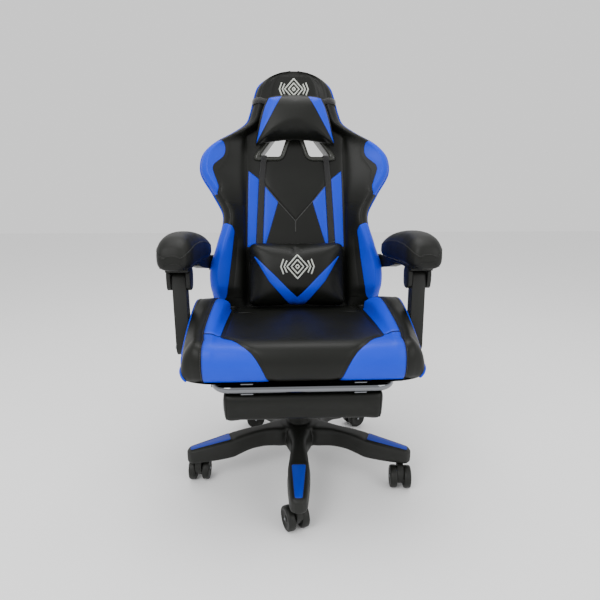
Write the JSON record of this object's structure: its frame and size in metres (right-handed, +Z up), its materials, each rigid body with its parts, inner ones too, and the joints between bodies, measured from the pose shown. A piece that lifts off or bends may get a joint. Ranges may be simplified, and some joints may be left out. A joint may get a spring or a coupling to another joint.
{
  "type": "gaming chair",
  "caption": "Racing-style swivel chair on a star base with castors, a reclining winged backrest, linked armrests, strapped cushions and a pull-out footrest.",
  "frame": {"origin": "on the floor under the middle of the chair's box at rest", "axes": "+Z up; the sitter faces -Y; +X is the sitter's left"},
  "size_m": [0.702, 0.707, 1.1601],
  "materials": {
    "nylon_black": "fine moulded grain",
    "nylon_blue": "satin moulded",
    "steel_black": "black powder coat",
    "steel_spring": "oiled steel",
    "chrome": "polished",
    "leather_black": "soft-grained artificial leather",
    "leather_blue": "soft-grained artificial leather",
    "armpad_foam": "skinned polyurethane foam",
    "trim_grey": "satin moulded",
    "webbing_black": "woven webbing"
  },
  "bodies": {
    "base": {"star_base": "nylon_black", "arm_insert_1": "nylon_blue", "arm_insert_2": "nylon_blue", "arm_insert_3": "nylon_blue", "arm_insert_4": "nylon_blue", "arm_insert_5": "nylon_blue", "gas_outer_tube": "steel_black", "cover_lower": "nylon_black"},
    "castor_1": {"castor_1_hood": "nylon_black"},
    "castor_1_left": {"castor_1_wheel_left": "nylon_black"},
    "castor_1_right": {"castor_1_wheel_right": "nylon_black"},
    "castor_2": {"castor_2_hood": "nylon_black"},
    "castor_2_left": {"castor_2_wheel_left": "nylon_black"},
    "castor_2_right": {"castor_2_wheel_right": "nylon_black"},
    "castor_3": {"castor_3_hood": "nylon_black"},
    "castor_3_left": {"castor_3_wheel_left": "nylon_black"},
    "castor_3_right": {"castor_3_wheel_right": "nylon_black"},
    "castor_4": {"castor_4_hood": "nylon_black"},
    "castor_4_left": {"castor_4_wheel_left": "nylon_black"},
    "castor_4_right": {"castor_4_wheel_right": "nylon_black"},
    "castor_5": {"castor_5_hood": "nylon_black"},
    "castor_5_left": {"castor_5_wheel_left": "nylon_black"},
    "castor_5_right": {"castor_5_wheel_right": "nylon_black"},
    "lift_rod": {"piston_rod": "steel_spring"},
    "column": {"gas_inner_tube": "steel_spring", "mechanism_housing": "steel_black", "cover_upper": "nylon_black", "tension_spring": "steel_spring"},
    "cover_middle": {"cover_middle": "nylon_black"},
    "lift_lever": {"lift_lever": "steel_black"},
    "seat": {"mechanism_plate": "steel_black", "seat_frame": "steel_black", "seat_cushion": "leather_black", "seat_bolster_left": "leather_blue", "seat_bolster_right": "leather_blue", "footrest_guide_left": "nylon_black", "footrest_guide_right": "nylon_black", "recliner_left": "steel_black", "recliner_right": "steel_black"},
    "tension_knob": {"tension_knob": "nylon_black"},
    "footrest_frame": {"footrest_frame": "chrome"},
    "footrest_pad": {"footrest_pad": "leather_black", "footrest_hinge": "chrome"},
    "recline_lever": {"recline_lever": "nylon_black"},
    "arm_strut_left": {"arm_strut_left": "nylon_black"},
    "arm_strut_right": {"arm_strut_right": "nylon_black"},
    "armrest_left": {"armrest_frame_left": "nylon_black", "armrest_pad_left": "armpad_foam"},
    "armrest_right": {"armrest_frame_right": "nylon_black", "armrest_pad_right": "armpad_foam"},
    "backrest": {"back_shell": "leather_black", "head_pillow": "leather_black", "lumbar_pillow": "leather_black", "head_strap": "webbing_black", "hinge_plate_left": "steel_black", "hinge_plate_right": "steel_black", "hole_bezel_left": "trim_grey", "hole_bezel_right": "trim_grey", "lumbar_strap_left": "webbing_black", "lumbar_strap_right": "webbing_black"}
  },
  "joints": [
    {"name": "castor_1_swivel", "type": "hinge", "parent": "base", "child": "castor_1", "pos_m": [-0.0138, -0.3239, 0], "axis": [0, 0, 1], "continuous": true},
    {"name": "castor_1_roll_left", "type": "hinge", "parent": "castor_1", "child": "castor_1_left", "pos_m": [-0.01353, -0.30217, 0.03], "axis": [0.9252, 0.3795, 0], "continuous": true},
    {"name": "castor_1_roll_right", "type": "hinge", "parent": "castor_1", "child": "castor_1_right", "pos_m": [-0.02926, -0.30862, 0.03], "axis": [0.9252, 0.3795, 0], "continuous": true},
    {"name": "castor_2_swivel", "type": "hinge", "parent": "base", "child": "castor_2", "pos_m": [0.27409, -0.1348, 0], "axis": [0, 0, 1], "continuous": true},
    {"name": "castor_2_roll_left", "type": "hinge", "parent": "castor_2", "child": "castor_2_left", "pos_m": [0.26298, -0.15348, 0.03], "axis": [-0.991, 0.134, 0], "continuous": true},
    {"name": "castor_2_roll_right", "type": "hinge", "parent": "castor_2", "child": "castor_2_right", "pos_m": [0.27983, -0.15575, 0.03], "axis": [-0.991, 0.134, 0], "continuous": true},
    {"name": "castor_3_swivel", "type": "hinge", "parent": "base", "child": "castor_3", "pos_m": [0.1832, 0.19744, 0], "axis": [0, 0, 1], "continuous": true},
    {"name": "castor_3_roll_left", "type": "hinge", "parent": "castor_3", "child": "castor_3_left", "pos_m": [0.20475, 0.20019, 0.03], "axis": [0.5045, -0.8634, 0], "continuous": true},
    {"name": "castor_3_roll_right", "type": "hinge", "parent": "castor_3", "child": "castor_3_right", "pos_m": [0.19618, 0.21487, 0.03], "axis": [0.5045, -0.8634, 0], "continuous": true},
    {"name": "castor_4_swivel", "type": "hinge", "parent": "base", "child": "castor_4", "pos_m": [-0.16086, 0.21366, 0], "axis": [0, 0, 1], "continuous": true},
    {"name": "castor_4_roll_left", "type": "hinge", "parent": "castor_4", "child": "castor_4_left", "pos_m": [-0.13967, 0.20888, 0.03], "axis": [0.1788, -0.9839, 0], "continuous": true},
    {"name": "castor_4_roll_right", "type": "hinge", "parent": "castor_4", "child": "castor_4_right", "pos_m": [-0.14271, 0.2256, 0.03], "axis": [0.1788, -0.9839, 0], "continuous": true},
    {"name": "castor_5_swivel", "type": "hinge", "parent": "base", "child": "castor_5", "pos_m": [-0.28262, -0.10854, 0], "axis": [0, 0, 1], "continuous": true},
    {"name": "castor_5_roll_left", "type": "hinge", "parent": "castor_5", "child": "castor_5_left", "pos_m": [-0.27353, -0.0888, 0.03], "axis": [0.9996, -0.0297, 0], "continuous": true},
    {"name": "castor_5_roll_right", "type": "hinge", "parent": "castor_5", "child": "castor_5_right", "pos_m": [-0.29052, -0.0883, 0.03], "axis": [0.9996, -0.0297, 0], "continuous": true},
    {"name": "seat_swivel", "type": "hinge", "parent": "base", "child": "lift_rod", "pos_m": [0, -0.03123, 0], "axis": [0, 0, 1], "continuous": true},
    {"name": "gas_lift", "type": "slide", "parent": "lift_rod", "child": "column", "axis": [0, 0, 1], "range_m": [0, 0.08]},
    {"name": "cover_middle_slide", "type": "slide", "parent": "base", "child": "cover_middle", "axis": [0, 0, 1], "range_m": [0, 0.04]},
    {"name": "lift_lever", "type": "hinge", "parent": "column", "child": "lift_lever", "pos_m": [-0.08, -0.03123, 0.338], "axis": [0, 1, 0], "range_deg": [0, 4.5], "stiffness_Nm_per_rad": 4, "springref_deg": -2.86},
    {"name": "seat_tilt", "type": "hinge", "parent": "column", "child": "seat", "pos_m": [0, 0.00877, 0.325], "axis": [-1, 0, 0], "range_deg": [0, 14], "stiffness_Nm_per_rad": 260, "springref_deg": -17.19, "deforming": ["tension_spring"]},
    {"name": "tension_knob", "type": "hinge", "parent": "seat", "child": "tension_knob", "pos_m": [0, -0.09923, 0], "axis": [0, 0, 1], "continuous": true},
    {"name": "recline", "type": "hinge", "parent": "seat", "child": "backrest", "pos_m": [0, 0.15377, 0.4], "axis": [-1, 0, 0], "range_deg": [-7, 33]},
    {"name": "recline_lever", "type": "hinge", "parent": "seat", "child": "recline_lever", "pos_m": [-0.272, 0.15377, 0.4], "axis": [-1, 0, 0], "range_deg": [0, 25], "stiffness_Nm_per_rad": 2, "springref_deg": -17.19},
    {"name": "footrest_flip", "type": "hinge", "parent": "footrest_frame", "child": "footrest_pad", "pos_m": [0, -0.29123, 0.355], "axis": [-1, 0, 0], "range_deg": [0, 180]},
    {"name": "footrest_slide", "type": "slide", "parent": "seat", "child": "footrest_frame", "axis": [0, -1, 0], "range_m": [0, 0.22]},
    {"name": "arm_strut_left", "type": "hinge", "parent": "seat", "child": "arm_strut_left", "pos_m": [0.3, -0.12123, 0.4], "axis": [-1, 0, 0], "range_deg": [-7, 33]},
    {"name": "armrest_left", "type": "hinge", "parent": "backrest", "child": "armrest_left", "pos_m": [0.262, 0.18377, 0.575], "axis": [-1, 0, 0], "range_deg": [-33, 7]},
    {"name": "arm_strut_right", "type": "hinge", "parent": "seat", "child": "arm_strut_right", "pos_m": [-0.3, -0.12123, 0.4], "axis": [-1, 0, 0], "range_deg": [-7, 33]},
    {"name": "armrest_right", "type": "hinge", "parent": "backrest", "child": "armrest_right", "pos_m": [-0.262, 0.18377, 0.575], "axis": [-1, 0, 0], "range_deg": [-33, 7]}
  ],
  "couplings": [
    {"joint": "cover_middle_slide", "follows": "gas_lift", "ratio": 0.5},
    {"joint": "footrest_flip", "follows": "footrest_slide", "rad_per_m": 14.27},
    {"joint": "arm_strut_left", "follows": "recline", "ratio": 1},
    {"joint": "armrest_left", "follows": "recline", "ratio": -1},
    {"joint": "arm_strut_right", "follows": "recline", "ratio": 1},
    {"joint": "armrest_right", "follows": "recline", "ratio": -1}
  ]
}
